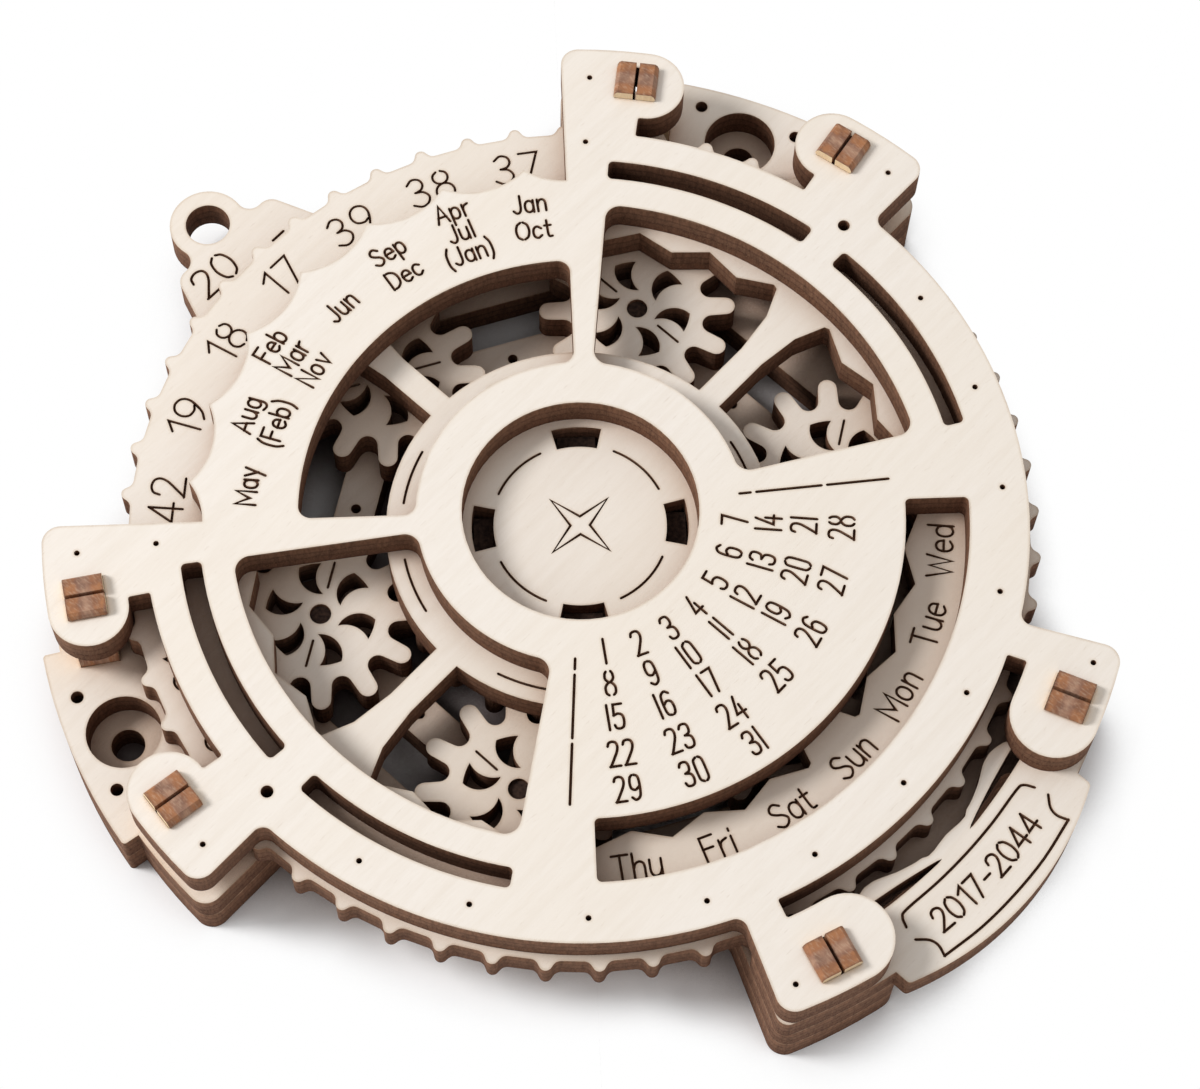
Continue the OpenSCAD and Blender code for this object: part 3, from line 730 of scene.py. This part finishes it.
disc_strokes = []
for place, year in enumerate(year_order):
    angle = 90 + year_step * place + year_lead
    disc_strokes += written(str(year), year_capital, on_circle(year_radius, angle), angle,
                            stretch=1.05, spacing=0.24)
    angle = -90 + year_step * place
    disc_strokes += written(weekdays[place % 7], weekday_capital,
                            on_circle(weekday_radius, angle), angle + 180, spacing=0.18)
for quadrant in (45, 135, 225, 315):
    for middle in (quadrant - hub_arc_middle, quadrant + hub_arc_middle):
        disc_strokes.append(arc_stroke(hub_arc_radius, middle - hub_arc_half,
                                       middle + hub_arc_half))
engrave("calendar_disc", disc_strokes, fine_line_width, disc_face, birch_disc,
        "calendar_disc_engraved", "dial")


# ---- Plaque and centre disc --------------------------------------------------------------
# The two fixed pieces of the third layer. The plaque names the span of years inside a
# scrolled frame. The centre disc has four short arcs and a plain compass star.
plaque_face = 3 * sheet
span_capital, span_radius = 1.8, 41.25
scroll_top = [(-7.4, -39.45), (-7.0, -38.75), (-6.3, -38.6), (-3.2, -38.93), (0, -39.05),
              (3.2, -38.93), (6.3, -38.6), (7.0, -38.75), (7.4, -39.45)]
scroll_side = [(7.65, -40.6), (7.0, -41.35), (6.85, -42.1), (7.15, -42.95)]
scroll_foot = [(-7.15, -42.95), (-3.6, -43.55), (0, -43.72), (3.6, -43.55), (7.15, -42.95)]
mirrored_side = [(-x, y) for x, y in scroll_side]
scroll_strokes = ((0, scroll_top), (1, scroll_side), (0, scroll_foot), (1, mirrored_side))
star_radius, star_waist = 3.1, 0.75
centre_arc_radius, centre_arc_half = 6.85, 20


def bent_below(strokes, radius):
    """Strokes written level below the axis, wrapped round it: a point's place across becomes
    an angle of x / radius, and its depth below the axis stays as its distance from it."""
    bent = []
    for rank, path, closed in strokes:
        turn = path[:, 0] / radius
        bent.append((rank, np.column_stack([np.sin(turn), -np.cos(turn)])
                     * -path[:, 1:], closed))
    return bent


plaque_strokes = bent_below(written("2017-2044", span_capital, (-0.1, -span_radius), 90,
                                    spacing=0.19), span_radius)
for rank, points in scroll_strokes:
    plaque_strokes.append((rank, dense_path("curve", points)[0], False))
engrave("plaque_plate", plaque_strokes, line_width, plaque_face, birch_frame,
        "plaque_plate_engraved", "frame")

star_points = [on_circle(star_radius if k % 2 == 0 else star_waist, 45 * k + 90)
               for k in range(8)]
centre_strokes = [(0, np.array(star_points), True)]
centre_strokes += [arc_stroke(centre_arc_radius, angle - centre_arc_half,
                              angle + centre_arc_half) for angle in (0, 90, 180, 270)]
engrave("centre_disc", centre_strokes, fine_line_width, plaque_face, birch_frame,
        "centre_disc_engraved", "frame")


# ---- Front plate -------------------------------------------------------------------------
# The top layer carries the months along its scalloped fan, each over the notch that its
# year shows in. The days of the month stand in seven columns on the sector below the hub,
# between two broken lines.
birch_front = birch_material("birch_front", 0.5, (1.0, 1.0, 1.0, 1))
front_face = 4 * sheet
month_columns = [["Jan", "Oct"], ["Apr", "Jul", "(Jan)"], ["Sep", "Dec"], ["Jun"],
                 ["Feb", "Mar", "Nov"], ["Aug", "(Feb)"], ["May"]]
month_rows = {1: [25.6], 2: [27.0, 24.6], 3: [27.9, 25.9, 23.9]}
date_rows = [11.8, 14.4, 17.1, 20.0, 22.8]
month_capital, date_capital = 1.55, 1.95
side_line_angles = (-40.8, -139.2)
side_line_dashes = ((12.3, 13.1), (13.6, 18.6), (19.1, 23.8))

# The dates are written in a narrower hand than the rest.
narrow_signs = {
    "0": (.36, [("curve", [(.13, 1), (.03, .92), (0, .75), (0, .25), (.03, .08), (.13, 0)]),
                ("curve", [(.25, 1), (.33, .92), (.36, .75), (.36, .25), (.33, .08),
                           (.25, 0)])]),
    "1": (.04, [("line", [(.02, 1), (.02, 0)])]),
    "2": (.38, [("curve", [(0, .84), (.05, .96), (.18, 1), (.31, .95), (.36, .8), (.32, .6),
                           (.2, .36), (.08, .14), (0, 0)]),
                ("line", [(-.01, 0), (.38, 0)])]),
    "3": (.37, [("curve", [(0, .86), (.06, .97), (.18, 1), (.31, .95), (.35, .78),
                           (.3, .6), (.14, .53)]),
                ("curve", [(.14, .53), (.32, .45), (.37, .26), (.32, .06), (.18, 0),
                           (.05, .04), (0, .16)])]),
    "4": (.38, [("line", [(.24, 1), (0, .3), (.38, .3)]), ("line", [(.27, .62), (.27, 0)])]),
    "5": (.37, [("line", [(.34, 1), (.03, 1), (.01, .56)]),
                ("curve", [(.01, .56), (.17, .61), (.33, .53), (.37, .3), (.32, .07),
                           (.18, 0), (.05, .04), (0, .15)])]),
    "6": (.36, [("curve", [(.33, .9), (.2, 1), (.05, .9), (0, .68), (0, .25), (.05, .06),
                           (.16, 0)]),
                ("curve", [(.02, .48), (.17, .6), (.32, .53), (.36, .32), (.33, .1),
                           (.26, .01)])]),
    "7": (.36, [("line", [(0, 1), (.36, 1), (.14, 0)])]),
    "8": (.36, [("curve", [(.08, .98), (.03, .88), (.03, .68), (.18, .54), (.33, .68),
                           (.33, .88), (.28, .98)]),
                ("curve", [(.08, .02), (0, .12), (0, .37), (.18, .54), (.36, .37),
                           (.36, .12), (.28, .02)])]),
    "9": (.36, [("curve", [(.03, .1), (.16, 0), (.31, .1), (.36, .32), (.36, .75),
                           (.31, .94), (.2, 1)]),
                ("curve", [(.34, .52), (.19, .4), (.04, .47), (0, .68), (.03, .9),
                           (.1, .99)])]),
}

front_strokes = []
for column, names in enumerate(month_columns):
    angle = 90 + year_step * (column - 3)
    for month, radius in zip(names, month_rows[len(names)]):
        front_strokes += written(month, month_capital, on_circle(radius, angle), angle,
                                 stretch=0.95)
for day in range(1, 32):
    row, column = divmod(day - 1, 7)
    angle = -90 + year_step * (column - 3)
    front_strokes += written(str(day), date_capital, on_circle(date_rows[row], angle),
                             angle + 180, alphabet=narrow_signs)
for angle in side_line_angles:
    for inner, outer in side_line_dashes:
        front_strokes.append(straight(on_circle(inner, angle), on_circle(outer, angle)))
engrave("front_plate", front_strokes, line_width, front_face, birch_front,
        "front_plate_engraved", "frame")


# ---- Split pins --------------------------------------------------------------------------
# The pins are cut from the same sheet and stand across the radius, so that their ends show
# the sheet's veneers edge on, rust brown and waxed. The two sides that look along the radius
# are the sheet's own faces, and stay pale.
upper_pin_orbit, lower_pin_orbit = 0.0381, 0.0397
pin_steps = [
    (0.00, (0.230, 0.100, 0.050, 1)), (0.10, (0.370, 0.160, 0.070, 1)),
    (0.28, (0.350, 0.150, 0.070, 1)), (0.36, (0.330, 0.175, 0.110, 1)),
    (0.52, (0.400, 0.230, 0.150, 1)), (0.64, (0.290, 0.145, 0.090, 1)),
    (0.72, (0.350, 0.150, 0.068, 1)), (0.92, (0.380, 0.165, 0.072, 1)),
    (1.00, (0.240, 0.105, 0.050, 1))]
pin_waver = 0.16
pin_patches, pin_hatching = ((900, 900, 300), 3.0), ((7000, 1800, 700), 2.0)
pin_wax = (0.120, 0.060, 0.045, 1)
pin_hatch_light = (0.60, 0.42, 0.30, 1)
pin_edge, pin_edge_reach = (0.110, 0.050, 0.028, 1), 0.0002
pin_sheet_pale, pin_sheet_shade = (0.80, 0.62, 0.40, 1), (0.62, 0.42, 0.24, 1)


def pin_material(name, orbit):
    """Browned plywood whose veneers lie one behind the other along the radius.

    The orbit is the pin's middle distance from the main axis. A side is the sheet's own
    face where the normal lies along the line from that axis.
    """
    material = bpy.data.materials.new(name)
    add = empty_tree(material)
    coords = add("ShaderNodeTexCoord")
    place = coords.outputs["Object"]
    flat = add("ShaderNodeVectorMath", {0: place, 1: (1, 1, 0)},
               operation="MULTIPLY").outputs[0]
    radius = add("ShaderNodeVectorMath", {0: flat}, operation="LENGTH").outputs["Value"]
    outward = add("ShaderNodeVectorMath", {0: flat}, operation="NORMALIZE").outputs[0]
    facing = add("ShaderNodeVectorMath", {0: outward, 1: coords.outputs["Normal"]},
                 operation="DOT_PRODUCT").outputs["Value"]
    sheet_side = arithmetic(add, "GREATER_THAN", arithmetic(add, "ABSOLUTE", facing),
                            square_on)
    across = arithmetic(add, "DIVIDE", arithmetic(add, "SUBTRACT", radius,
                                                  orbit - sheet / 2), sheet)
    patches = stretched_noise(add, place, 0.0, *pin_patches)
    shifted = arithmetic(add, "ADD", across, arithmetic(
        add, "MULTIPLY_ADD", patches, pin_waver, -pin_waver / 2))
    bands = colour_steps(add, shifted, pin_steps)
    waxed = blend_colour(add, ramped(add, patches, 0.58, 0.36, 0.55), bands, pin_wax)
    hatching = stretched_noise(add, place, 0.0, *pin_hatching)
    hatched = blend_colour(add, ramped(add, hatching, 0.50, 0.78, 0.45), waxed,
                           pin_hatch_light)
    rubbed = blend_colour(add, ramped(add, edge_turn(add, pin_edge_reach), 0.98, 0.75, 0.5),
                          hatched, pin_edge)
    pale = blend_colour(add, ramped(add, hatching, 0.35, 0.75, 0.5), pin_sheet_pale,
                        pin_sheet_shade)
    colour = blend_colour(add, sheet_side, rubbed, pale)
    wood_surface(add, colour, roughness=0.6, shine=0.25, height=hatching,
                 strength=end_grain_strength, relief=end_grain_relief)
    return material


upper_pin_wood = pin_material("upper_pin_wood", upper_pin_orbit)
lower_pin_wood = pin_material("lower_pin_wood", lower_pin_orbit)
for number in range(1, 5):
    dress(f"spacer_pin_{number}", upper_pin_wood)
for number in (1, 2):
    dress(f"lug_pin_{number}", lower_pin_wood)
